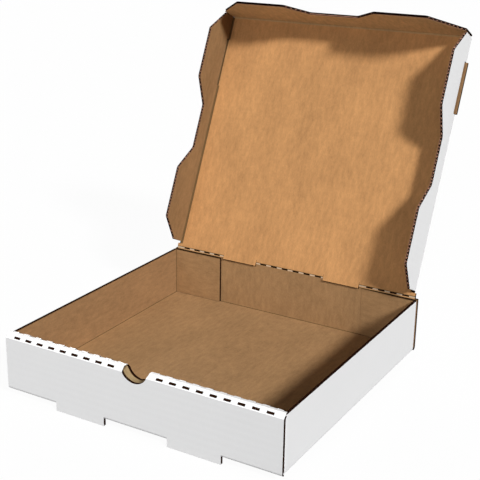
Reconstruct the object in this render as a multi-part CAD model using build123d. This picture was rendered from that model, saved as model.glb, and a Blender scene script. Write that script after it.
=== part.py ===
"""Corrugated pizza box, open: a tray folded from one sheet, its hinged lid and the lid's three tuck flaps.

Millimetres. +Z is up, the front wall faces -Y, and the origin is the middle of the tray's underside.
The lid and its flaps are drawn flat about the hinge line and then leaned back to the open position.
"""
import os
from math import hypot

from build123d import *

# Board
board = 3.0                # thickness of the corrugated board
crease_inner = 0.5         # inside radius of a scored fold
play = 0.3                 # air between faces that lie against each other or turn past each other

# Tray
tray_width = 311.0         # over the side walls, along X
tray_depth = 309.0         # over the front and back walls, along Y
wall_height = 59.5         # underside to the top of a side wall
front_corner_flap = 62.0   # reach of the flaps that the double front wall holds
rear_corner_flap = 65.0    # reach of the flaps that lie against the back wall
rear_corner_drop = 0.8     # rear corner flaps stop this far under the side walls
roll_share = 0.45          # share of the pitch of the two front layers that each roll-over bend takes

# Slits that let the front wall roll over, a row on each of its two creases
slit_length = 7.5
slit_width = 1.8
slit_pitch = 14.3
slit_first = 27.3          # middle of the box to the middle of the first slit
slit_margin = 10.0         # end of the wall to the nearest slit, at least

# Finger notch at the middle of the front wall
notch_radius = 15.5
notch_rise = 2.5           # centre of the notch above the rim

# Front feet: tongues of the front wall left standing where the lock slots are cut
foot_inner = 36.0          # middle of the box to the near end of a foot
foot_length = 58.0
foot_drop = 7.1            # reach below the underside

# Lid
lid_lift = 3.0             # hinge line above the side walls
lid_lean = 24.7            # degrees past upright, as it stands open
lid_front_play = 6.9       # room in front of the tucked front flap, so that it can swing in
lid_side_play = 1.5        # room beside each tucked side flap
ear_length = 4.0           # strip along the hinge that is as wide as the inside of the tray
vent_reach = 5.0           # vent tongues reach this far past their fold line
hinge_vent_inner = 43.4    # middle of the box to the near end of a vent tongue on the hinge
hinge_vent_length = 43.6
side_vent_start = 201.5    # hinge line to the near end of a vent tongue on the side fold
side_vent_length = 57.5

# Wavy edge of the lid's flaps: a trough at the middle and a lobe on each side of it
corner_round = 3.0
side_trough, side_slope, side_lobe = 53.0, 29.0, 60.0
side_trough_depth, side_lobe_depth, side_end_depth = 22.5, 46.2, 19.0
side_rear_gap = 6.5        # hinge line to the rear end of a side flap
front_trough, front_slope, front_lobe = 58.6, 26.2, 60.6
front_trough_depth, front_lobe_depth, front_end_depth = 35.5, 55.7, 21.0

# Worked out from the sizes above
half_width = tray_width / 2
half_depth = tray_depth / 2
crease_outer = board + crease_inner
crease_mid = crease_inner + board / 2
hinge_y = half_depth - board / 2
hinge_z = wall_height + lid_lift
fold_gap = board / 2 + play                 # fold line to the edge that the turning panel's round nose faces
rim_top = hinge_z - fold_gap                # back wall and front roll-over, just under the closed lid
layer_pitch = 2 * (board + play)            # outer front panel to inner front panel
roll_mid = roll_share * layer_pitch
front_mid_y = board / 2 - half_depth        # middle of the outer front panel
inner_mid_y = front_mid_y + layer_pitch     # middle of the inner front panel
inner_half_width = half_width - crease_outer - play
inner_foot_z = board + play                 # lower edge of the inner front panel
fold_x = half_width - 1.5 * board - lid_side_play
lid_length = hinge_y - inner_mid_y - board - lid_front_play
reach = 2 * (tray_width + tray_depth)       # longer than anything, for cuts that run right through


def block(x, y, z):
    """Box between pairs of coordinates."""
    size = [high - low for low, high in (x, y, z)]
    middle = [(low + high) / 2 for low, high in (x, y, z)]
    return Pos(*middle) * Box(*size)


def both_sides(solid):
    """A solid and its mirror image across the middle of the box."""
    return solid + mirror(solid, about=Plane.YZ)


def folded_strip(plane, points, radii, start, end):
    """Board bent along a line of points in a plane, from start to end along the plane's normal."""
    section = plane * trace(FilletPolyline(*points, radius=radii), board)
    return Pos(*(plane.z_dir * start)) * extrude(section, end - start, dir=plane.z_dir)


def main_strip():
    """Back wall, bottom, front wall, roll-over and inner front panel, all in one run of board."""
    line = [
        (hinge_y, rim_top),
        (hinge_y, board / 2),
        (front_mid_y, board / 2),
        (front_mid_y, rim_top - board / 2),
        (inner_mid_y, rim_top - board / 2),
        (inner_mid_y, inner_foot_z),
    ]
    strip = folded_strip(Plane.YZ, line, [crease_mid, crease_mid, roll_mid, roll_mid], -half_width, half_width)
    clear_y = half_depth - crease_outer
    bottom_edge = block((half_width - crease_outer, reach), (-clear_y, clear_y), (-board, crease_outer))
    roll_end = block((inner_half_width, reach), (board - half_depth, 0), (crease_outer, reach))
    return strip - both_sides(bottom_edge) - both_sides(roll_end)


def side_wall():
    """Right side wall with its two corner flaps, and the bend that joins it to the bottom."""
    wall_x = half_width - board / 2
    flap_y = half_depth - 1.5 * board - play
    line = [
        (half_width - front_corner_flap, -flap_y),
        (wall_x, -flap_y),
        (wall_x, flap_y),
        (half_width - rear_corner_flap, flap_y),
    ]
    wall = folded_strip(Plane.XY, line, [crease_mid, crease_mid], crease_outer, wall_height)
    flap_end_x = half_width - crease_outer
    straight_y = flap_y + board / 2 - crease_outer
    front_drop = block((0, flap_end_x), (-reach, -straight_y), (rim_top - board - play, reach))
    rear_drop = block((0, flap_end_x), (straight_y, reach), (wall_height - rear_corner_drop, reach))
    bend_line = [(flap_end_x - board, board / 2), (wall_x, board / 2), (wall_x, crease_outer + board)]
    bend = folded_strip(Plane.XZ, bend_line, [crease_mid], -straight_y, straight_y)
    return wall - front_drop - rear_drop + bend


def roll_slits():
    """Rows of slits through the two bends of the roll-over, clear of the finger notch."""
    count = int((half_width - slit_margin - slit_length / 2 - slit_first) / slit_pitch) + 1
    bend_z = rim_top - board / 2 - roll_mid
    slit = Pos(0, 0, roll_mid) * Box(slit_length, slit_width, 2 * board)
    cuts = []
    for step in range(count):
        for x in (slit_first + step * slit_pitch, -slit_first - step * slit_pitch):
            cuts.append(Location((x, front_mid_y + roll_mid, bend_z), (45, 0, 0)) * slit)
            cuts.append(Location((x, inner_mid_y - roll_mid, bend_z), (-45, 0, 0)) * slit)
    return cuts


def build_tray():
    """The tray: one folded sheet, with its front locked into slots in the bottom."""
    foot_x = (foot_inner, foot_inner + foot_length)
    tab_x = (foot_x[0] + play, foot_x[1] - play)
    front_y = (-half_depth, board - half_depth)
    inner_y = (inner_mid_y - board / 2, inner_mid_y + board / 2)
    lock_slot = block(foot_x, (front_y[1], inner_y[1] + play), (-board, crease_outer))
    foot = block(foot_x, front_y, (-foot_drop, crease_outer))
    lock_tab = block(tab_x, inner_y, (play, crease_outer + board))
    tray = main_strip() + both_sides(side_wall())
    tray = tray - both_sides(lock_slot) + both_sides(foot) + both_sides(lock_tab)
    notch_depth = 2 * layer_pitch + 2 * board
    notch = Rot(90, 0, 0) * Cylinder(notch_radius, notch_depth)
    tray -= Pos(0, front_mid_y + layer_pitch / 2, rim_top + notch_rise) * notch
    tray -= roll_slits()
    vent_x = (hinge_vent_inner - play, hinge_vent_inner + hinge_vent_length + play)
    vent_z = hinge_z - hypot(vent_reach, board / 2) - play
    tray -= both_sides(block(vent_x, (half_depth - 2 * board, reach), (vent_z, reach)))
    return tray


def rounded(outline):
    """A flap's outline with its free corners rounded."""
    free = outline.vertices().filter_by(lambda corner: corner.Y > board)
    return fillet(free, corner_round)


def wavy_outline(middle, ends, trough, slope, lobe, trough_depth, lobe_depth, end_depth):
    """Flap outline on its fold line: a trough at the middle, a lobe each side, and tapered ends."""
    trough_end = trough / 2
    lobe_start = trough_end + slope
    lobe_end = lobe_start + lobe
    points = [
        (ends[0], 0),
        (ends[1], 0),
        (ends[1], end_depth),
        (middle + lobe_end, lobe_depth),
        (middle + lobe_start, lobe_depth),
        (middle + trough_end, trough_depth),
        (middle - trough_end, trough_depth),
        (middle - lobe_start, lobe_depth),
        (middle - lobe_end, lobe_depth),
        (ends[0], end_depth),
    ]
    return rounded(make_face(Polyline(*points, close=True)))


def fold_nose(ends):
    """Round edge of a panel along its fold line, which lies on X."""
    length = ends[1] - ends[0]
    return Pos((ends[0] + ends[1]) / 2, 0, 0) * Rot(0, 90, 0) * Cylinder(board / 2, length)


def flap_on_fold(outline, ends):
    """Flap standing up from a fold line on X: its board, centred on the line, and its round nose."""
    return extrude(Plane.XZ * outline, board / 2, both=True) + fold_nose(ends)


def build_lid():
    """Lid panel lying flat, with its hinge along X and the vent tongues that stay in its plane."""
    sheet = (-board / 2, board / 2)
    edge_x = fold_x - fold_gap
    ear_x = half_width - board
    lid = block((-edge_x, edge_x), (0, lid_length - fold_gap), sheet)
    lid += block((-ear_x, ear_x), (0, ear_length), sheet) + fold_nose((-ear_x, ear_x))
    hinge_vent_x = (hinge_vent_inner, hinge_vent_inner + hinge_vent_length)
    side_vent_y = (side_vent_start, side_vent_start + side_vent_length)
    lid += both_sides(block(hinge_vent_x, (-vent_reach, ear_length), sheet))
    lid += both_sides(block((edge_x - board, fold_x + vent_reach), side_vent_y, sheet))
    return lid


def build_side_flap():
    """Right flap of the lid, folded square, with the gap that its vent tongue was cut from."""
    ends = (side_rear_gap, lid_length - fold_gap - play)
    outline = wavy_outline(
        lid_length / 2, ends, side_trough, side_slope, side_lobe,
        side_trough_depth, side_lobe_depth, side_end_depth,
    )
    flap = flap_on_fold(outline, ends)
    vent_y = (side_vent_start - play, side_vent_start + side_vent_length + play)
    vent_depth = hypot(vent_reach, board / 2) + play
    flap -= block(vent_y, (-board, board), (-board, vent_depth))
    return Location((fold_x, 0, 0), (0, 0, 90)) * flap


def build_front_flap():
    """Front flap of the lid, folded square. It covers the ends of the side flaps."""
    ends = (-fold_x - board / 2, fold_x + board / 2)
    outline = wavy_outline(
        0, ends, front_trough, front_slope, front_lobe,
        front_trough_depth, front_lobe_depth, front_end_depth,
    )
    return Pos(0, lid_length, 0) * flap_on_fold(outline, ends)


lid_place = Location((0, hinge_y, hinge_z), (90 - lid_lean, 0, 0))
right_flap = build_side_flap()
nodes = {
    "tray": build_tray(),
    "lid": lid_place * build_lid(),
    "lid_right_flap": lid_place * right_flap,
    "lid_left_flap": lid_place * mirror(right_flap, about=Plane.YZ),
    "lid_front_flap": lid_place * build_front_flap(),
}
os.makedirs("parts", exist_ok=True)
for name, solid in nodes.items():
    solid.label = name
    export_step(solid, f"parts/{name}.step")
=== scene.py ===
import bmesh
import bpy
import numpy as np
from mathutils import Matrix


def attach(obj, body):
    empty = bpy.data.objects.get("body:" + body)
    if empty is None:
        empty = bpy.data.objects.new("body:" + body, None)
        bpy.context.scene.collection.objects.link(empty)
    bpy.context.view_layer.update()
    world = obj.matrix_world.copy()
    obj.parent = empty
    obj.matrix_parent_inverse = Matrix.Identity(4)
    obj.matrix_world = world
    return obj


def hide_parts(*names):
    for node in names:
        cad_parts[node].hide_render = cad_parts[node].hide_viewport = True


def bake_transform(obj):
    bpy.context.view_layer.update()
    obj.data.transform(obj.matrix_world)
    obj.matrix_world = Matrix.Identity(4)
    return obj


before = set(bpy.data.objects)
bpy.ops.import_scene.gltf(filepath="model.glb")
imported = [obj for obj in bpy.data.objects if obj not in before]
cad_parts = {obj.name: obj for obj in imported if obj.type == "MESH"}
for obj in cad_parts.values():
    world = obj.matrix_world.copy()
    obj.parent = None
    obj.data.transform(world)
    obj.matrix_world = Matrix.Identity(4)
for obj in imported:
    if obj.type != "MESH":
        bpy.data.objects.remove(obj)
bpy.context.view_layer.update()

# Tray: bottom and walls folded up from one sheet of corrugated board, which is a white coated liner, a wavy
# fluting and a kraft liner glued together and die-cut. The front wall rolls over at two rows of slits into a
# second panel, whose tabs lock into the bottom, and the side walls' corner flaps are held behind it.
board, liner, fluting = 3.0, 0.35, 0.6         # mm, as all lengths here
flute_pitch = 7.1
flute_rise = board / 2 - liner - fluting / 2
white_coat = (0.732, 0.732, 0.735, 1)
# highlight_white_coat is the white coat painted lighter on the roll-over: a painted highlight.
highlight_white_coat = (0.93, 0.93, 0.93, 1)
# tray_shaded_kraft and side_shaded_kraft are the lid's kraft painted darker, as shade; the side walls darker
# still.
tray_shaded_kraft = (0.356, 0.207, 0.095, 1)
side_shaded_kraft = (0.273, 0.153, 0.070, 1)
# painted_shade_kraft_colour is kraft painted dark as shade in creases, corners and behind flaps, and along
# the side walls' top edge.
painted_shade_kraft_colour = (0.13, 0.078, 0.034, 1)
# fluting_shade_brown is near-black so that the open flute cells read dark: painted shade.
fluting_shade_brown = (0.026, 0.010, 0.0055, 1)
# edge_and_shade_dark is near-black, darker than cut paper: painted shade of the open cut edges, and painted
# shade in the side walls' front corners and behind the hinge dashes.
edge_and_shade_dark = (0.024, 0.009, 0.005, 1)


def paper_group():
    """Shader group of a paper's surface, read from its place on the flat blank: long soft streaks along the
    web, cloudy patches and short fibres, summed into a tone round one, and fibres plus the faint washboard of
    the flutes summed into a height."""
    group = bpy.data.node_groups.new("paper_surface", "ShaderNodeTree")
    for name, value in (("Streaks", 0.2), ("Clouds", 0.1), ("Fibres", 0.1), ("Washboard", 0.3)):
        group.interface.new_socket(name, in_out="INPUT", socket_type="NodeSocketFloat").default_value = value
    for name in ("Tone", "Height"):
        group.interface.new_socket(name, in_out="OUTPUT", socket_type="NodeSocketFloat")
    nodes, links = group.nodes, group.links
    given, put = nodes.new("NodeGroupInput"), nodes.new("NodeGroupOutput")
    blank = nodes.new("ShaderNodeUVMap")
    blank.uv_map = "blank"

    def noise(across, along, detail):
        stretch = nodes.new("ShaderNodeMapping")
        stretch.inputs["Scale"].default_value = (across, along, 1)
        links.new(blank.outputs["UV"], stretch.inputs["Vector"])
        texture = nodes.new("ShaderNodeTexNoise")
        texture.inputs["Scale"].default_value = 1
        texture.inputs["Detail"].default_value = detail
        links.new(stretch.outputs["Vector"], texture.inputs["Vector"])
        return texture.outputs["Fac"]

    def math(operation, first, second):
        node = nodes.new("ShaderNodeMath")
        node.operation = operation
        for socket, value in zip(node.inputs, (first, second)):
            if isinstance(value, (int, float)):
                socket.default_value = value
            else:
                links.new(value, socket)
        return node.outputs[0]

    fibres = noise(1100, 380, 2)
    parts = ((noise(260, 85, 4), "Streaks"), (noise(28, 13, 2), "Clouds"), (fibres, "Fibres"))
    tone = 1.0
    for field, name in parts:
        tone = math("ADD", math("MULTIPLY", math("SUBTRACT", field, 0.5), given.outputs[name]), tone)
    split = nodes.new("ShaderNodeSeparateXYZ")
    links.new(blank.outputs["UV"], split.inputs[0])
    wave = math("SINE", math("MULTIPLY", split.outputs["Y"], 2 * np.pi / (flute_pitch / 1000)), 0.0)
    height = math("ADD", math("MULTIPLY", wave, given.outputs["Washboard"]), fibres)
    links.new(tone, put.inputs["Tone"])
    links.new(height, put.inputs["Height"])
    return group


paper_surface = paper_group()


def paper_material(name, colour, roughness, specular, streaks, clouds, fibres, washboard, relief):
    """Principled paper: its colour times the tone of the paper group, and a bump of the group's height."""
    material = bpy.data.materials.new(name)
    material.use_nodes = True
    nodes, links = material.node_tree.nodes, material.node_tree.links
    shader = nodes["Principled BSDF"]
    shader.inputs["Roughness"].default_value = roughness
    shader.inputs["Specular IOR Level"].default_value = specular
    surface = nodes.new("ShaderNodeGroup")
    surface.node_tree = paper_surface
    for socket, value in zip(surface.inputs, (streaks, clouds, fibres, washboard)):
        socket.default_value = value
    tint = nodes.new("ShaderNodeVectorMath")
    tint.operation = "SCALE"
    tint.inputs[0].default_value = colour[:3]
    links.new(surface.outputs["Tone"], tint.inputs["Scale"])
    links.new(tint.outputs["Vector"], shader.inputs["Base Color"])
    bump = nodes.new("ShaderNodeBump")
    bump.inputs["Strength"].default_value = relief
    bump.inputs["Distance"].default_value = 0.0001
    links.new(surface.outputs["Height"], bump.inputs["Height"])
    links.new(bump.outputs["Normal"], shader.inputs["Normal"])
    return material


white_paper = paper_material("white_coated_liner", white_coat, 0.55, 0.35, 0.012, 0.03, 0.012, 0.5, 0.25)
white_painted_highlight = paper_material("white_liner_painted_highlight", highlight_white_coat, 0.5, 0.4, 0.012, 0.03, 0.012, 0.0, 0.25)
kraft_tray = paper_material("kraft_liner_tray_painted_shade", tray_shaded_kraft, 0.85, 0.15, 0.55, 0.40, 0.40, 0.5, 0.4)
kraft_side = paper_material("kraft_liner_sides_painted_shade", side_shaded_kraft, 0.85, 0.15, 0.55, 0.40, 0.40, 0.5, 0.4)
painted_shade_kraft = paper_material("painted_shade_kraft", painted_shade_kraft_colour, 0.9, 0.0, 0.3, 0.2, 0.2, 0.0, 0.4)
flute_paper = paper_material("fluting_paper_painted_shade", fluting_shade_brown, 0.9, 0.0, 0.2, 0.1, 0.3, 0.0, 0.4)
edge_and_shade_paper = paper_material("die_cut_edge_and_painted_shade", edge_and_shade_dark, 0.9, 0.0, 0.2, 0.1, 0.4, 0.0, 0.4)


def fold_line(start, heading, runs):
    """Line of a folded sheet, seen along its creases: each run is a flat length, then a turn in degrees with
    a radius. The heading grows evenly along a crease and holds along a flat, and the line is the running sum
    of the heading's cosine and sine."""
    lengths, turns = [0.0], [heading]
    for flat, turn, radius in runs:
        lengths += [lengths[-1] + flat, lengths[-1] + flat + abs(np.radians(turn)) * radius]
        turns += [turns[-1], turns[-1] + turn]
    length = np.linspace(0, lengths[-1], 40001)
    angle = np.radians(np.interp(length, lengths, turns))
    step = np.diff(length)
    middle = (angle[1:] + angle[:-1]) / 2
    across = start[0] + np.concatenate([[0], np.cumsum(np.cos(middle) * step)])
    up = start[1] + np.concatenate([[0], np.cumsum(np.sin(middle) * step)])
    return length, across, up, angle


def along(line, p):
    """Point of a folded line at length p, and its left-hand normal, which is minus the sine and the cosine of
    the heading."""
    length, across, up, angle = line
    heading = np.interp(p, length, angle)
    return np.interp(p, length, across), np.interp(p, length, up), -np.sin(heading), np.cos(heading)


def lines(*marks, bends=(), parts=10):
    """Sorted row or column lines: single marks, and evenly spaced lines through each bend."""
    rounds = [np.linspace(start, end, parts + 1) for start, end in bends]
    return np.unique(np.round(np.concatenate([np.ravel(m) for m in (*marks, *rounds)]), 4))


def cut_sheet(surface, rows, columns, keep, tone=None):
    """Sheet cut from a lattice of row and column lines: a cell stays where keep is true at its middle, and
    takes the material slot that tone gives there. The surface gives points, white-side normals and places on
    the blank, and rows also count the flutes."""
    r, c = np.meshgrid(rows, columns, indexing="ij")
    mid_r, mid_c = np.meshgrid((rows[1:] + rows[:-1]) / 2, (columns[1:] + columns[:-1]) / 2, indexing="ij")
    index = np.arange(r.size).reshape(r.shape)
    kept = keep(mid_r, mid_c)
    cells = np.stack([index[:-1, :-1], index[1:, :-1], index[1:, 1:], index[:-1, 1:]], -1)[kept]
    slots = tone(mid_r, mid_c)[kept] if tone else np.zeros(len(cells), int)
    points, normals, blank = surface(r, c)
    return points.reshape(-1, 3), normals.reshape(-1, 3), blank.reshape(-1, 2), r.ravel(), cells, slots


def lay_paper(name, sheets, offset, look, thickness, inward):
    """One paper of a board: each sheet moved along its normals by an offset, a number or a function of the
    row, wound to look along the normals on the white side and against them on the other, and given its
    thickness by Solidify, with the raw edge on rim and back."""
    points, cells, blanks, slots, count = [], [], [], [], 0
    for place, normal, blank, row, quads, slot in sheets:
        lift = offset(row) if callable(offset) else np.full(len(row), offset)
        point = place + normal * lift[:, None]
        corner = point[quads]
        faced = np.cross(corner[:, 1] - corner[:, 0], corner[:, 3] - corner[:, 0])
        side = -1 if not callable(offset) and offset < 0 else 1
        wrong = (faced * normal[quads[:, 0]]).sum(1).sum() * side < 0
        cells.append((quads[:, ::-1] if wrong else quads) + count)
        points.append(point)
        blanks.append(blank)
        slots.append(slot if len(look) > 2 else 0 * slot)
        count += len(point)
    cells = np.concatenate(cells)
    used, place = np.unique(cells, return_inverse=True)
    cells = place.reshape(cells.shape)
    points, blanks = np.concatenate(points)[used] / 1000, np.concatenate(blanks)[used] / 1000
    mesh = bpy.data.meshes.new(name)
    mesh.from_pydata(points, [], cells)
    uv = mesh.uv_layers.new(name="blank")
    uv.data.foreach_set("uv", blanks[cells.ravel()].astype(np.float32).ravel())
    mesh.polygons.foreach_set("material_index", np.concatenate(slots).astype(np.int32))
    for material in look:
        mesh.materials.append(material)
    work = bmesh.new()
    work.from_mesh(mesh)
    bmesh.ops.remove_doubles(work, verts=work.verts, dist=2e-6)
    work.to_mesh(mesh)
    work.free()
    piece = bpy.data.objects.new(name, mesh)
    bpy.context.scene.collection.objects.link(piece)
    wall = piece.modifiers.new("paper", "SOLIDIFY")
    wall.thickness = thickness / 1000
    wall.offset = -1 if inward else 0
    wall.material_offset_rim = len(look) - 1 if inward else 1
    wall.material_offset = len(look) - 1 if inward else 0
    return piece


def flute_wave(row):
    """Lift of the fluting at a row: a sine of one wave to each flute pitch."""
    return flute_rise * np.sin(2 * np.pi * row / flute_pitch)


def flute_tone(row, column):
    """The cut end of the fluting is pale where it crosses from liner to liner, and dark beside the liners,
    painted shade of the cells there.
    """
    return np.where(np.abs(flute_wave(row)) < 0.5 * flute_rise, 1, 0)


def lay_board(name, white, kraft, flutes, bead, cut, *kraft_look):
    """The three papers of one board, which ride on its body and stand for its node."""
    white_look = (white_paper, white_painted_highlight, edge_and_shade_paper)
    papers = [
        lay_paper(name + "_white_liner", white, board / 2, white_look, liner, True),
        lay_paper(name + "_kraft_liner", kraft, -board / 2, (*kraft_look, painted_shade_kraft, cut), liner, True),
        lay_paper(name + "_fluting", flutes, flute_wave, (flute_paper, edge_and_shade_paper, bead), fluting, False),
    ]
    for paper in papers:
        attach(paper, name)
    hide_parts(name)


half_width, half_depth = 155.5, 154.5
wall_y, inner_y = 153.0, -146.4                # middles of the outer walls and of the inner front panel
bottom_half, inner_half = 152.0, 151.7
rim_top, play = 60.7, 0.3
crease_mid, facet_mid = 2.0, 2.0
crease_outer = crease_mid + board / 2
crease_run, facet_run = crease_mid * np.pi / 2, facet_mid * np.pi / 4
bottom_flat = 2 * wall_y - 2 * crease_mid
front_flat, facet_flat, strip_flat = 51.4, 3.2527, 0.3
inner_flat = rim_top - board / 2 - crease_mid
main_line = fold_line((wall_y, rim_top), -90, [
    (rim_top - crease_outer, -90, crease_mid),
    (bottom_flat, -90, crease_mid),
    (front_flat, -45, facet_mid),
    (facet_flat, -45, facet_mid),
    (strip_flat, -90, crease_mid),
    (inner_flat - play, 0, 1),
])
back_bend = rim_top - crease_outer
bottom_start = back_bend + crease_run
front_bend = bottom_start + bottom_flat
front_start = front_bend + crease_run
roll_bend = front_start + front_flat
facet_start = roll_bend + facet_run
facet_end = facet_start + facet_flat
strip_start = facet_end + facet_run
strip_bend = strip_start + strip_flat
inner_start = strip_bend + crease_run
tab_end = main_line[0][-1]
inner_end = tab_end - board
main_top, shade_row, vent_floor, vent_x = 1.5, 2.2, 3.7, (43.1, 87.3)
foot_x, tab_x, foot_drop = (36.0, 94.0), (36.3, 93.7), 7.1
foot_end = front_start - crease_outer - foot_drop
lock_slot = front_bend - 6.4
slit_pitch, slit_half, slit_wide = 14.3, 3.75, 1.2
slit_x = 27.3 + slit_pitch * np.arange(9)
slit_rows = np.array([(facet_start + facet_end) / 2 - 0.6, (strip_bend + inner_start) / 2])
ruffle_height, ruffle_ease, ruffle_reach = 0.5, 3.0, 1.2
bow_x, bow_depth = (-20.0, 20.0), (2.4, 0.7)
notch_radius, notch_z, notch_line, notch_room = 15.5, 63.2, 10.0, 19.0
notch_shrink, notch_drift = 1.0, 1.2
notch_rise = notch_z - notch_radius * np.cos(np.linspace(0, 1.01, 9))
notch_rows = front_start + notch_rise - crease_outer
notch_back = inner_start + inner_flat - notch_rise


def panel_bow(x):
    """How far the inner front panel springs back at its top: more left of the notch than right of it."""
    return np.interp(x, bow_x, bow_depth)


def main_run(p, x):
    """Back wall, bottom, front wall, roll-over and inner panel: the folded line carried along X. Round the
    finger notch the columns bend so that the notch line follows a circle, half as wide as the root of the
    radius squared less the drop squared, a little smaller and off centre on the inner panel. The facet's
    bends stretch by one over the cosine, which makes them sharp outside, and the inner crease stands up at
    each slit."""
    y, z, ny, nz = along(main_line, p)
    behind = np.interp(p, [roll_bend, inner_start], [0, 1])
    radius = notch_radius - notch_shrink * behind
    drop = np.clip(notch_z - z, 0, radius)
    half = np.where(p > front_start, np.sqrt(radius ** 2 - drop ** 2), 0)
    span = np.abs(x)
    bent = np.where(span < notch_line, span * half / notch_line,
                    half + (span - notch_line) * (notch_room - half) / (notch_room - notch_line))
    blank = np.stack([x, p], -1)
    drift = notch_drift * behind * np.clip((notch_room - span) / (notch_room - notch_line), 0, 1)
    x = np.where(span < notch_room, np.sign(x) * bent, x) + drift
    y = y + panel_bow(x) * np.interp(p, [facet_end, inner_start, inner_end], [0, 1, 0])
    near = np.abs(span[..., None] - slit_x).min(-1)
    ruffle = np.clip((slit_pitch / 2 - near) / ruffle_ease, 0, 1)
    z = z + ruffle_height * ruffle * np.clip(1 - np.abs(p - strip_bend - ruffle_reach) / ruffle_reach, 0, 1)
    stretch = 1.0
    for start, end in ((roll_bend, facet_start), (facet_end, strip_start)):
        turn = np.radians(45) * np.clip(np.minimum(p - start, end - p) / (end - start), 0, 0.5)
        stretch = stretch + ((facet_mid + board / 2) * (1 / np.cos(turn) - 1)) / (board / 2)
    return np.stack([x, y, z], -1), np.stack([0 * x, ny * stretch, nz * stretch], -1), blank


def main_keep(p, x):
    """What the die leaves of the main run: its width at each panel, less the vent gaps, lock slots and finger
    notch, with the lock tabs left on the inner panel."""
    span = np.abs(x)
    in_bottom = (p > bottom_start) & (p < front_bend)
    wide = np.where(in_bottom, bottom_half, np.where(p > facet_end, inner_half, half_width))
    gone = (p < vent_floor) & (span > vent_x[0]) & (span < vent_x[1])
    gone |= (p > lock_slot) & (p < front_start) & (span > foot_x[0]) & (span < foot_x[1])
    gone |= (p > notch_rows[0]) & (span < notch_line)
    gone |= (p > inner_end) & ~((span > tab_x[0]) & (span < tab_x[1]))
    return (span < wide) & ~gone


def slit_keep(p, x):
    """The white liner keeps its full width over the roll-over and is cut by its slits."""
    near = np.abs(np.abs(x)[..., None] - slit_x).min(-1) < slit_half
    strip = (p > facet_end) & (p < strip_bend) & (np.abs(x) > inner_half)
    return (main_keep(p, x) | strip) & ~(near & (np.abs(p[..., None] - slit_rows).min(-1) < slit_wide))


def main_tone(p, x):
    """The kraft is painted dark as shade in the bends at the bottom and behind the tops of the rear corner
    flaps, and painted darker as shade at the ends outside the side walls."""
    crushed = ((p > back_bend) & (p < bottom_start)) | ((p > front_bend) & (p < front_start))
    crushed |= (p < shade_row) & (np.abs(x) > vent_x[1])
    return np.where(crushed, 2, np.where(np.abs(x) > bottom_half, 1, 0))


def white_tone(p, x):
    """The white coat is painted lighter where it rolls over the front: a painted highlight."""
    return np.where((p > roll_bend + 0.5 * facet_run) & (p < facet_end + 0.5 * facet_run), 1, 0)


def foot_run(p, x):
    """Foot: the front wall carried straight on below its bend."""
    y, z = np.full_like(p, -wall_y), crease_outer + p - front_start
    return np.stack([x, y, z], -1), np.stack([0 * x, 0 * x - 1, 0 * x], -1), np.stack([x, p], -1)


def foot_keep(p, x):
    """Two feet, one each side of the middle."""
    return (np.abs(x) > foot_x[0]) & (np.abs(x) < foot_x[1])


flap_end, flap_y = 90.5, 149.7
rear_flat, side_flat, held_flat = bottom_half - flap_end, 2 * flap_y - 2 * crease_mid, 58.5
side_line = fold_line((flap_end, flap_y), 0, [
    (rear_flat, -90, crease_mid), (side_flat, -90, crease_mid), (held_flat, 0, 1)])
side_end = side_line[0][-1]
rear_corner = (rear_flat, rear_flat + crease_run)
front_corner = (rear_corner[1] + side_flat, rear_corner[1] + side_flat + crease_run)
side_bends = [rear_corner, front_corner]
held_top, dark_top_row, wall_top = crease_run + 53.9, crease_run + 54.6, crease_run + 55.2
pinch_length, pinch_share, pinch_sink = 45.0, 0.88, 0.5


def side_run(sign):
    """Side wall with its corner flaps, on the right for sign 1 and the left for -1: the plan line carried up
    Z, rolled in under by a quarter turn where it meets the bottom. The right rear flap is pinched flat at its
    end, against the back wall."""
    def surface(p, q):
        x, y, nx, ny = along(side_line, p)
        turn = np.clip(q / crease_mid, 0, np.pi / 2)
        inset = crease_mid * (1 - np.sin(turn))
        z = crease_outer - crease_mid * np.cos(turn) + np.maximum(q - crease_run, 0)
        pinch = np.interp(p, [0.0, pinch_length], [pinch_share if sign > 0 else 0.0, 0.0])
        points = np.stack([sign * (x - nx * inset), y - ny * inset + (board / 2 + pinch_sink) * pinch, z], -1)
        normals = np.stack([sign * nx * np.sin(turn), ny * np.sin(turn), -np.cos(turn)], -1)
        return points, normals * (1 - pinch)[..., None], np.stack([sign * (bottom_half + q), p - 1.0], -1)
    return surface


def side_keep(p, q):
    """The flaps held in the front stop lower than the wall and the rear flaps, and only the wall bends into
    the bottom."""
    wall = (p > rear_corner[0]) & (p < front_corner[1])
    return (q < np.where(p > front_corner[1], held_top, wall_top)) & ((q > crease_run) | wall)


def side_tone(p, q):
    """The kraft is painted dark as shade in the upright corners and where the wall bends into the bottom, and
    is darker in a strip along the top edge; the wall is painted darker than its flaps, as shade."""
    corner = ((p > rear_corner[0]) & (p < rear_corner[1])) | ((p > front_corner[0]) & (p < front_corner[1]))
    wall = (p > rear_corner[1]) & (p < front_corner[0])
    return np.where(corner | (q < crease_run) | (q > dark_top_row), 2, np.where(wall, 1, 0))


def corner_tone(p, q):
    """The white coat is painted dark brown as shade where a side wall turns in behind the front wall."""
    return np.where((p > 0.6 * front_corner[0] + 0.4 * front_corner[1]) & (p < front_corner[1]), 2, 0)


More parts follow.
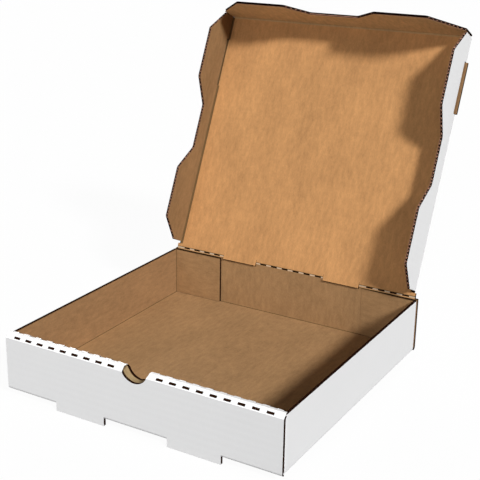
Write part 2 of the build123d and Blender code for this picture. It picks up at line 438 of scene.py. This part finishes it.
main_bends = [(back_bend, bottom_start), (front_bend, front_start), (roll_bend, facet_start),
              (facet_end, strip_start), (strip_bend, inner_start)]
main_marks = np.concatenate([slit_rows - slit_wide, slit_rows + slit_wide, notch_rows, notch_back,
                             [main_top, shade_row, vent_floor, lock_slot, facet_end, inner_end, tab_end]])
main_rows = lines(main_marks, bends=main_bends)
wall_spread = np.concatenate([foot_x, tab_x, vent_x, [notch_line / 2, notch_line, notch_room],
                              [bottom_half, inner_half, half_width]])
slit_spread = np.concatenate([wall_spread, slit_x - slit_half, slit_x + slit_half])
wall_columns = lines(wall_spread, -wall_spread, 0)
slit_columns = lines(slit_spread, -slit_spread, 0)
foot_columns = lines(foot_x, [-x for x in foot_x])
side_rows = lines(0, pinch_length, side_end, bends=side_bends)
side_levels = lines(held_top, dark_top_row, wall_top, bends=[(0, crease_run)])
wave_step = flute_pitch / 14
main_waves = lines(np.arange(main_top, tab_end, wave_step), main_marks, bends=main_bends)
foot_waves = lines(np.arange(foot_end + 0.2, front_start, wave_step), front_start)
side_waves = lines(np.arange(0, side_end, wave_step), side_end, bends=side_bends)
feet = cut_sheet(foot_run, lines(foot_end, front_start), foot_columns, foot_keep)
tray_white = [cut_sheet(main_run, main_rows, slit_columns, slit_keep, white_tone), feet]
tray_inside = [cut_sheet(main_run, main_rows, wall_columns, main_keep, main_tone), feet]
tray_flutes = [cut_sheet(main_run, main_waves, wall_columns, main_keep, flute_tone),
               cut_sheet(foot_run, foot_waves, foot_columns, foot_keep, flute_tone)]
for sign, flutes_from in ((1, 18.0), (-1, 0.0)):
    tray_white.append(cut_sheet(side_run(sign), side_rows, side_levels, side_keep, corner_tone))
    tray_inside.append(cut_sheet(side_run(sign), side_rows, side_levels, side_keep, side_tone))
    waves = side_waves[side_waves >= flutes_from]
    tray_flutes.append(cut_sheet(side_run(sign), waves, side_levels, side_keep, flute_tone))
lay_board("tray", tray_white, tray_inside, tray_flutes, edge_and_shade_paper, edge_and_shade_paper, kraft_tray, kraft_side)

# Finger notch: a round bite through both front panels, for the finger that lifts the lid. Its cut face is
# brown paper that spans the hollow between the panels, coloured as the hollow's shade: painted shade.
notch_edge = paper_material("notch_edge", (0.29, 0.205, 0.108, 1), 0.9, 0.0, 0.5, 0.2, 0.4, 0.0, 0.4)
notch_lip = board / 2 + crease_mid
facet_rise = 4.35
lining_back, lining_front, lining_rear = 0.15, 2.6, 2.9
notch_reach = np.arccos((notch_z - rim_top + 0.2) / notch_radius)


def notch_run(turn, c):
    """Cut face of the notch: part of a round of the notch's radius, from the front wall through the roll-over
    to the inner panel, following the facet in front and the round crease behind."""
    radius = notch_radius + lining_back - notch_shrink * c
    x, z = radius * np.sin(turn) + notch_drift * c, notch_z - radius * np.cos(turn)
    front = -half_depth + lining_front + np.maximum(z - rim_top + facet_rise, 0)
    high = np.clip(z - rim_top + notch_lip, 0, notch_lip)
    rear = inner_y + board / 2 - lining_rear - notch_lip + np.sqrt(notch_lip ** 2 - high ** 2)
    y = front + c * (rear + panel_bow(x) * z / rim_top - front)
    return np.stack([x, y, z], -1), np.stack([-np.sin(turn), 0 * x, np.cos(turn)], -1), np.stack([y, x], -1)


def whole(rows, columns):
    """Every cell."""
    return np.ones(rows.shape, bool)


notch_sheet = cut_sheet(notch_run, np.linspace(-notch_reach, notch_reach, 41), np.linspace(0, 1, 5), whole)
notch_paper = lay_paper("finger_notch_edge", [notch_sheet], 0, (notch_edge,), 0.2, True)
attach(notch_paper, "tray")

# Lid: a flat panel of the same sheet, leaning back past upright on the cut crease at the top of the back
# wall. Two vent tongues stay in its plane at the hinge and one at each side fold, where they were cut out of
# the neighbouring panel, and narrow ears at the hinge run the full width inside the tray.
# kraft_face is the lid's kraft. The tray, side, flap, front and fold krafts are this one paper, painted
# darker as shade on the tray, sides, flaps and fold, and lighter as light on the front flap.
kraft_face = (0.512, 0.261, 0.1015, 1)
kraft_lid = paper_material("kraft_liner_lid", kraft_face, 0.8, 0.2, 0.55, 0.50, 0.40, 0.5, 0.4)
hinge = np.array([0.0, 153.0, 62.5])
lean = np.radians(24.7)
along_x = np.array([1.0, 0.0, 0.0])
up_lid = np.array([0.0, np.sin(lean), np.cos(lean)])
into_lid = np.array([0.0, -np.cos(lean), np.sin(lean)])
fold_x, fold_s, crease_half = 149.5, 289.5, 1.8
ear_half, ear_end = 152.5, 2.8
tongue_x, tongue_reach = (43.4, 87.0), 5.0
side_tongue, side_reach = (201.5, 259.0), 153.3


def lid_run(s, x):
    """Lid panel: the hinge point plus x along the hinge and s up the lid."""
    points = hinge + x[..., None] * along_x + s[..., None] * up_lid
    return points, np.broadcast_to(-into_lid, points.shape), np.stack([x, -2 * crease_half - s], -1)


def lid_keep(edge, end):
    """Lid panel inside an edge and an end, with its ears and its four tongues."""
    def keep(s, x):
        span = np.abs(x)
        panel = (span < edge) & (s > crease_half) & (s < end)
        ears = (span < ear_half) & (s > crease_half) & (s < ear_end)
        tongues = (span > tongue_x[0]) & (span < tongue_x[1]) & (s < ear_end)
        sides = (s > side_tongue[0]) & (s < side_tongue[1])
        return panel | ears | tongues | sides
    return keep


def lid_tone(s, x):
    """The kraft is painted dark as shade where the side tongues cross the folds, and painted darker as shade
    beyond.
    """
    beyond = (np.abs(x) > fold_x - crease_half) & (s > ear_end)
    return np.where(beyond, np.where(np.abs(x) < fold_x, 2, 1), 0)


def lid_sheet(edge, end, step, tone=None):
    """Lid cut to an edge and an end, with a row at each step."""
    spread = np.array([edge, fold_x, ear_half, side_reach, *tongue_x])
    rows = lines(np.arange(-tongue_reach, end, step), -tongue_reach, crease_half, ear_end, side_tongue, end)
    return cut_sheet(lid_run, rows, lines(spread, -spread, 0), lid_keep(edge, end), tone)


lid_white = [lid_sheet(fold_x, fold_s, 20.0)]
lid_inside = [lid_sheet(fold_x - crease_half, fold_s - crease_half, 20.0, lid_tone)]
lid_flutes = [lid_sheet(fold_x - crease_half, fold_s - crease_half, wave_step, flute_tone)]
lay_board("lid", lid_white, lid_inside, lid_flutes, edge_and_shade_paper, edge_and_shade_paper, kraft_lid, kraft_side)

# Hinge crease: the two liners run on from the back wall into the lid, scored and cut in dashes so that the
# lid turns on the bridges of paper left between them. It is left out at the vent tongues.
# hinge_band_lit_kraft is kraft painted lighter on the band below the dashes outside the vents, as light;
# bridge_highlight_paper is the bridges painted pale, a painted highlight.
hinge_band_lit_kraft = paper_material("hinge_band_painted_light", (0.66, 0.36, 0.155, 1), 0.8, 0.2, 0.5, 0.3, 0.3, 0.0, 0.4)
bridge_highlight_paper = paper_material("bridges_painted_highlight", (0.66, 0.50, 0.34, 1), 0.9, 0.1, 0.5, 0.3, 0.3, 0.0, 0.4)
hinge_look = (kraft_lid, bridge_highlight_paper, hinge_band_lit_kraft, kraft_tray, painted_shade_kraft, edge_and_shade_paper)
crease_turn, crease_radius = np.degrees(lean), 5.5
crease_flat = crease_half - crease_radius * np.tan(lean / 2)
hinge_top = hinge + crease_half * up_lid
hinge_line = fold_line((hinge_top[1], hinge_top[2]), 270 - crease_turn, [
    (crease_flat, crease_turn, crease_radius), (crease_flat + main_top, 0, 1)])
hinge_length = hinge_line[0][-1]
# lip is the width of a dark strip above the bridges, a painted shadow of the lid's cut edge.
dash_pitch, dash_length, dash_half, lip = 14.07, 7.8, 0.75, 0.5
dash_row, dash_shift = hinge_length - 1.8, 1.4
dash_end = 98.1 + dash_pitch * np.arange(4)
dash_x = dash_shift + np.concatenate([-dash_end, dash_pitch * (np.arange(6) - 2.5), dash_end])
cut_top, cut_foot = dash_row - dash_half, dash_row + dash_half


def hinge_run(p, x):
    """Hinge crease: the short folded line from the lid down to the back wall, carried along X."""
    y, z, ny, nz = along(hinge_line, p)
    blank = np.stack([x, p - hinge_length + main_top], -1)
    return np.stack([x, y, z], -1), np.stack([0 * x, ny, nz], -1), blank


def hinge_keep(p, x):
    """Crease paper inside the ears, less the vent tongues."""
    span = np.abs(x)
    return (span < ear_half) & ~((span > vent_x[0]) & (span < vent_x[1]))


def dashed_keep(p, x):
    """Crease paper less the cut dashes."""
    dash = (np.abs(x[..., None] - dash_x).min(-1) < dash_length / 2) & (np.abs(p - dash_row) < dash_half)
    return hinge_keep(p, x) & ~dash


def hinge_tone(p, x):
    """Above the cut the crease paper is the lid's kraft. The bridges in the cut are painted pale, a painted
    highlight, below a dark lip, a painted shadow of the lid's cut edge, and under them runs the back wall's
    kraft, painted lighter outside the vents, as light."""
    below = np.where(np.abs(x) < vent_x[0], 3, 2)
    return np.select([p < cut_top - lip, p < cut_top, p < cut_foot], [0, 4, 1], below)


hinge_rows = lines(0, hinge_length, cut_top - lip, cut_top, cut_foot,
                   bends=[(crease_flat, hinge_length - crease_flat - main_top)], parts=6)
hinge_columns = lines(ear_half, -ear_half, vent_x, [-x for x in vent_x],
                      dash_x - dash_length / 2, dash_x + dash_length / 2)
hinge_whole = [cut_sheet(hinge_run, hinge_rows, hinge_columns, hinge_keep)]
hinge_dashed = [cut_sheet(hinge_run, hinge_rows, hinge_columns, dashed_keep, hinge_tone)]
# The hinge fluting is a flat near-black strip, painted shade seen through the dashes.
for paper in (lay_paper("hinge_white_liner", hinge_dashed, board / 2, (white_paper, edge_and_shade_paper), liner, True),
              lay_paper("hinge_fluting", hinge_whole, 0.2, (edge_and_shade_paper,), fluting, False),
              lay_paper("hinge_kraft_liner", hinge_dashed, -board / 2, hinge_look, liner, True)):
    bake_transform(paper)

# Side flaps: folded square to the lid, to tuck inside the tray's side walls. Each has a wavy free edge, two
# lobes with a trough between, and a window at its fold that the lid's side tongue was cut from.
# flap_shaded_kraft is the lid's kraft painted darker on the side flaps, as shade.
flap_shaded_kraft, bead_brown, cut_brown = (0.2305, 0.131, 0.058, 1), (0.60, 0.31, 0.21, 1), (0.24, 0.125, 0.078, 1)
kraft_flap = paper_material("kraft_liner_flap_painted_shade", flap_shaded_kraft, 0.85, 0.15, 0.55, 0.40, 0.40, 0.5, 0.4)
bead_paper = paper_material("fluting_edge", bead_brown, 0.9, 0.0, 0.2, 0.1, 0.3, 0.0, 0.4)
clean_cut = paper_material("clean_cut_edge", cut_brown, 0.9, 0.0, 0.2, 0.1, 0.4, 0.0, 0.4)
side_middle, side_rear, side_front = fold_s / 2, 5.3, 287.4
window, window_depth = (201.2, 259.3), 5.5
wave_s = np.array([side_rear, side_middle - 115.5, side_middle - 55.5, side_middle - 26.5,
                   side_middle + 26.5, side_middle + 55.5, side_middle + 115.5, side_front])
wave_depth = np.array([19.0, 46.2, 46.2, 22.5, 22.5, 46.2, 46.2, 19.0])
valley_radius, valley_paper = 1.8, 0.25


def wavy_depth(knots, depths, place):
    """Depth of a wavy edge: straight stretches between knots, averaged over a short span to round corners."""
    shifts = np.array([-1.2, -0.6, 0.0, 0.6, 1.2])
    return np.interp(place[..., None] + shifts, knots, depths).mean(-1)


def flap_run(sign):
    """Side flap on the right for sign 1 and the left for -1: up the lid along rows; columns 0 to 1 reach from
    the fold to the window's edge and 1 to 2 on to the wavy edge."""
    def surface(s, c):
        depth = wavy_depth(wave_s, wave_depth, s)
        d = np.where(c < 1, c * window_depth, window_depth + (c - 1) * (depth - window_depth))
        points = hinge + (sign * fold_x) * along_x + s[..., None] * up_lid + d[..., None] * into_lid
        blank = np.stack([sign * (fold_x + d), -2 * crease_half - s], -1)
        return points, np.broadcast_to(sign * along_x, points.shape), blank
    return surface


def flap_keep(s, c):
    """The whole flap less its window."""
    return ~((s > window[0]) & (s < window[1]) & (c < 1))


def side_crease(sign, corner, radius):
    """Paper round a side fold: a quarter circle about a corner given in x and depth, from lid to flap."""
    def surface(turn, s):
        x = corner[0] + radius * np.sin(turn)
        d = corner[1] - radius * np.cos(turn)
        points = hinge + (sign * x)[..., None] * along_x + s[..., None] * up_lid + d[..., None] * into_lid
        normals = (sign * np.sin(turn))[..., None] * along_x - np.cos(turn)[..., None] * into_lid
        return points, normals, np.stack([sign * (fold_x + d), -2 * crease_half - s], -1)
    return surface


def crease_keep(turn, s):
    """The fold from the ear to the front, on both sides of the window."""
    return ((s > ear_end) & (s < window[0])) | ((s > window[1]) & (s < side_front))


flap_rows = lines(np.arange(side_rear, side_front, 1.5), side_rear, side_front, window)
flap_waves = lines(np.arange(side_rear, side_front, wave_step), side_rear, side_front, window)
crease_rows = np.linspace(0, np.pi / 2, 9)
crease_columns = lines(ear_end, side_front, window)
for sign, flap in ((-1, "lid_left_flap"), (1, "lid_right_flap")):
    white = [cut_sheet(flap_run(sign), flap_rows, lines(0.012, 1, 2), flap_keep)]
    kraft = [cut_sheet(flap_run(sign), flap_rows, lines(0.35, 1, 2), flap_keep)]
    flutes = [cut_sheet(flap_run(sign), flap_waves, lines(0.1, 1, 1.995), flap_keep, flute_tone)]
    lay_board(flap, white, kraft, flutes, bead_paper, clean_cut, kraft_flap)
    outer = [cut_sheet(side_crease(sign, (fold_x, 0), 0), crease_rows, crease_columns, crease_keep)]
    outer_paper = lay_paper(flap + "_crease_white", outer, board / 2, (white_paper, edge_and_shade_paper), liner, True)
    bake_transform(outer_paper)
    heel = (fold_x - board / 2 - valley_radius, board / 2 + valley_radius)
    inner = [cut_sheet(side_crease(sign, heel, valley_radius), crease_rows, crease_columns, crease_keep)]
    # The kraft in the side fold's valley is painted dark, as shade.
    inner_look = (painted_shade_kraft, edge_and_shade_paper)
    inner_paper = lay_paper(flap + "_crease_kraft", inner, -0.001, inner_look, valley_paper, True)
    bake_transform(inner_paper)

# Front flap: folded square at the lid's front edge, to tuck inside the double front wall, and over the ends
# of the side flaps. The flutes lie along its fold, so its straight edges show a slot and its slopes open
# cells.
# front_lit_kraft is the lid's kraft painted lighter and less red on the front flap's shaded face, as light;
# fold_shaded_kraft is painted darker in the fold's valley, as shade.
front_lit_kraft, fold_shaded_kraft = (0.60, 0.385, 0.185, 1), (0.46, 0.285, 0.133, 1)
kraft_front = paper_material("kraft_liner_front_painted_light", front_lit_kraft, 0.8, 0.2, 0.65, 0.3, 0.4, 0.5, 0.4)
kraft_fold = paper_material("kraft_liner_fold_painted_shade", fold_shaded_kraft, 0.85, 0.15, 0.5, 0.3, 0.4, 0.0, 0.4)
front_half, lobe_x, slope_x, trough_x = 150.4, 116.1, 55.5, 29.3
end_depth, lobe_depth, trough_depth = 21.0, 55.7, 35.5
front_x = np.array([-front_half, -lobe_x, -slope_x, -trough_x, trough_x, slope_x, lobe_x, front_half])
front_depth = np.array([end_depth, lobe_depth, lobe_depth, trough_depth,
                        trough_depth, lobe_depth, lobe_depth, end_depth])
flute_inset, valley_inset = 0.3, 3.0


def front_run(x, c):
    """Front flap: along its fold by rows, and columns 0 to 1 from the fold to the wavy edge."""
    d = c * wavy_depth(front_x, front_depth, x)
    points = hinge + x[..., None] * along_x + fold_s * up_lid + d[..., None] * into_lid
    return points, np.broadcast_to(up_lid, points.shape), np.stack([x, -2 * crease_half - fold_s - d], -1)


def front_flutes(d, c):
    """Fluting of the front flap: rows down its depth, and columns that follow the trough's slope at 1 and the
    tapered end at 2, each side of the middle."""
    trough = np.interp(d, [trough_depth, lobe_depth], [trough_x, slope_x])
    end_x = [front_half - valley_inset, front_half, lobe_x]
    end = np.interp(d, [end_depth - 0.1, end_depth, lobe_depth], end_x)
    span = np.abs(c)
    x = np.sign(c) * np.where(span < 1, span * trough, trough + (span - 1) * (end - flute_inset - trough))
    points = hinge + x[..., None] * along_x + fold_s * up_lid + d[..., None] * into_lid
    return points, np.broadcast_to(up_lid, points.shape), np.stack([x, -2 * crease_half - fold_s - d], -1)


def front_keep(d, c):
    """No fluting inside the trough past its depth."""
    return ~((np.abs(c) < 1) & (d > trough_depth - flute_inset))


def front_crease(corner, radius):
    """Paper round the front fold: a quarter circle about a corner given in lid length and depth."""
    def surface(turn, x):
        s = corner[0] + radius * np.sin(turn)
        d = corner[1] - radius * np.cos(turn)
        points = hinge + x[..., None] * along_x + s[..., None] * up_lid + d[..., None] * into_lid
        normals = np.sin(turn)[..., None] * up_lid - np.cos(turn)[..., None] * into_lid
        return points, normals, np.stack([x, -2 * crease_half - fold_s - d], -1)
    return surface


front_rows = lines(np.arange(-front_half, front_half, 1.5), front_half, front_x)
front_waves = lines(np.arange(0.5, lobe_depth - flute_inset, wave_step),
                    trough_depth - flute_inset, lobe_depth - flute_inset)
white = [cut_sheet(front_run, front_rows, lines(0.0012, 0.5, 1), whole)]
kraft = [cut_sheet(front_run, front_rows, lines(0.05, 0.5, 1), whole)]
flutes = [cut_sheet(front_flutes, front_waves, lines(-2, -1, 1, 2), front_keep, flute_tone)]
lay_board("lid_front_flap", white, kraft, flutes, bead_paper, clean_cut, kraft_front)
outer = [cut_sheet(front_crease((fold_s, 0), 0), crease_rows, lines(-front_half, front_half), whole)]
outer_look = (white_paper, edge_and_shade_paper)
outer_paper = lay_paper("lid_front_flap_crease_white", outer, board / 2, outer_look, liner, True)
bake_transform(outer_paper)
heel = (fold_s - board / 2 - valley_radius, board / 2 + valley_radius)
valley_half = front_half - valley_inset
inner = [cut_sheet(front_crease(heel, valley_radius), crease_rows, lines(-valley_half, valley_half), whole)]
# The front fold's valley kraft is painted darker, as shade.
inner_look = (kraft_fold, edge_and_shade_paper)
inner_paper = lay_paper("lid_front_flap_crease_kraft", inner, -0.001, inner_look, valley_paper, True)
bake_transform(inner_paper)

# Studio: a floor just under the feet and a white surround, which the camera sees as white while the floor
# still takes a faint shadow. A key lamp stands high on the right, a strip and a weak fill light the front,
# and a low rear lamp lights the back and the left.
floor_half, floor_z = 4.0, -0.0075             # m
floor_grey, floor_seen, floor_glow, surround_level = 0.15, 0.8, 0.96, 0.10
floor_mesh = bpy.data.meshes.new("floor")
floor_sides = ((-1, -1), (1, -1), (1, 1), (-1, 1))
floor_points = [(x * floor_half, y * floor_half, floor_z) for x, y in floor_sides]
floor_mesh.from_pydata(floor_points, [], [(0, 1, 2, 3)])
floor = bpy.data.objects.new("floor", floor_mesh)
bpy.context.scene.collection.objects.link(floor)


def seen_white(tree, share):
    """How far a ray sees plain white: a share for camera, mirror and see-through rays, nothing for others."""
    rays = tree.nodes.new("ShaderNodeLightPath")
    total = rays.outputs["Is Camera Ray"]
    for name in ("Is Glossy Ray", "Is Transmission Ray"):
        larger = tree.nodes.new("ShaderNodeMath")
        larger.operation = "MAXIMUM"
        tree.links.new(total, larger.inputs[0])
        tree.links.new(rays.outputs[name], larger.inputs[1])
        total = larger.outputs[0]
    scaled = tree.nodes.new("ShaderNodeMath")
    scaled.operation = "MULTIPLY"
    scaled.inputs[1].default_value = share
    tree.links.new(total, scaled.inputs[0])
    return scaled.outputs[0]


floor_paint = bpy.data.materials.new("floor_paint")
floor_paint.use_nodes = True
tree = floor_paint.node_tree
floor_shader = tree.nodes["Principled BSDF"]
floor_tone = tree.nodes.new("ShaderNodeMapRange")
floor_tone.inputs["To Min"].default_value = floor_grey
floor_tone.inputs["To Max"].default_value = floor_seen
tree.links.new(seen_white(tree, 1.0), floor_tone.inputs["Value"])
tree.links.new(floor_tone.outputs["Result"], floor_shader.inputs["Base Color"])
floor_shader.inputs["Roughness"].default_value = 0.9
floor_shader.inputs["Specular IOR Level"].default_value = 0.0
glow = tree.nodes.new("ShaderNodeEmission")
glow.inputs["Color"].default_value = (1, 1, 1, 1)
glow.inputs["Strength"].default_value = 1.0
blend = tree.nodes.new("ShaderNodeMixShader")
tree.links.new(seen_white(tree, floor_glow), blend.inputs["Fac"])
tree.links.new(floor_shader.outputs["BSDF"], blend.inputs[1])
tree.links.new(glow.outputs["Emission"], blend.inputs[2])
tree.links.new(blend.outputs["Shader"], tree.nodes["Material Output"].inputs["Surface"])
floor_mesh.materials.append(floor_paint)

world = bpy.data.worlds.new("surround")
bpy.context.scene.world = world
world.use_nodes = True
tree = world.node_tree
surround = tree.nodes["Background"]
surround.inputs["Color"].default_value = (1, 1, 1, 1)
level = tree.nodes.new("ShaderNodeMapRange")
level.inputs["To Min"].default_value = surround_level
level.inputs["To Max"].default_value = 1.0
tree.links.new(seen_white(tree, 1.0), level.inputs["Value"])
tree.links.new(level.outputs["Result"], surround.inputs["Strength"])


def frame_axes(azimuth, elevation, roll):
    """Right, up and back axes of what looks at the object from an azimuth and elevation, in degrees."""
    a, e, r = np.radians([azimuth, elevation, roll])
    back = np.array([np.sin(a) * np.cos(e), -np.cos(a) * np.cos(e), np.sin(e)])
    level = np.array([np.cos(a), np.sin(a), 0.0])
    rise = np.cross(back, level)
    return level * np.cos(r) + rise * np.sin(r), rise * np.cos(r) - level * np.sin(r), back


def lamp(name, kind, azimuth, elevation, energy):
    """Lamp of a kind that shines at the object from an azimuth and elevation."""
    light = bpy.data.lights.new(name, kind)
    light.energy = energy
    piece = bpy.data.objects.new(name, light)
    piece.rotation_mode = "QUATERNION"
    turn = Matrix(np.stack(frame_axes(azimuth, elevation, 0), 1).tolist())
    piece.rotation_quaternion = turn.to_quaternion()
    bpy.context.scene.collection.objects.link(piece)
    return piece


key = lamp("key", "SUN", 63.5, 35.0, 3.82)
key.data.angle = np.radians(9)
strip_lamp = lamp("front_strip", "AREA", -5, 0, 0.68)
strip_lamp.location = (-0.05, -0.62, 0.07)
strip_lamp.data.shape = "RECTANGLE"
strip_lamp.data.size, strip_lamp.data.size_y = 0.9, 0.15
strip_lamp.visible_camera = False
fill = lamp("fill", "SUN", -3, 14, 0.60)
fill.data.angle = np.radians(20)
rear = lamp("rear", "SUN", 218, 8, 3.4)
rear.data.angle = np.radians(30)

# Camera: a long lens at the photograph's viewing angle, a little above the box and to its right.
picture, lens_pixels, middle_x, middle_y = 480, 1057.278, 203.0, 238.0
lens = bpy.data.cameras.new("camera")
lens.sensor_width = 36.0
lens.lens = lens_pixels / picture * lens.sensor_width
lens.shift_x, lens.shift_y = (picture / 2 - middle_x) / picture, (middle_y - picture / 2) / picture
lens.clip_end = 20.0
camera = bpy.data.objects.new("camera", lens)
turned = np.eye(4)
turned[:3, :3] = np.stack(frame_axes(31.929, 19.073, 0.258), 1)
turned[:3, 3] = np.array([516.074, -863.48, 492.168]) / 1000
camera.matrix_world = Matrix(turned.tolist())
bpy.context.scene.collection.objects.link(camera)
bpy.context.scene.camera = camera
bpy.context.scene.view_settings.view_transform = "Standard"
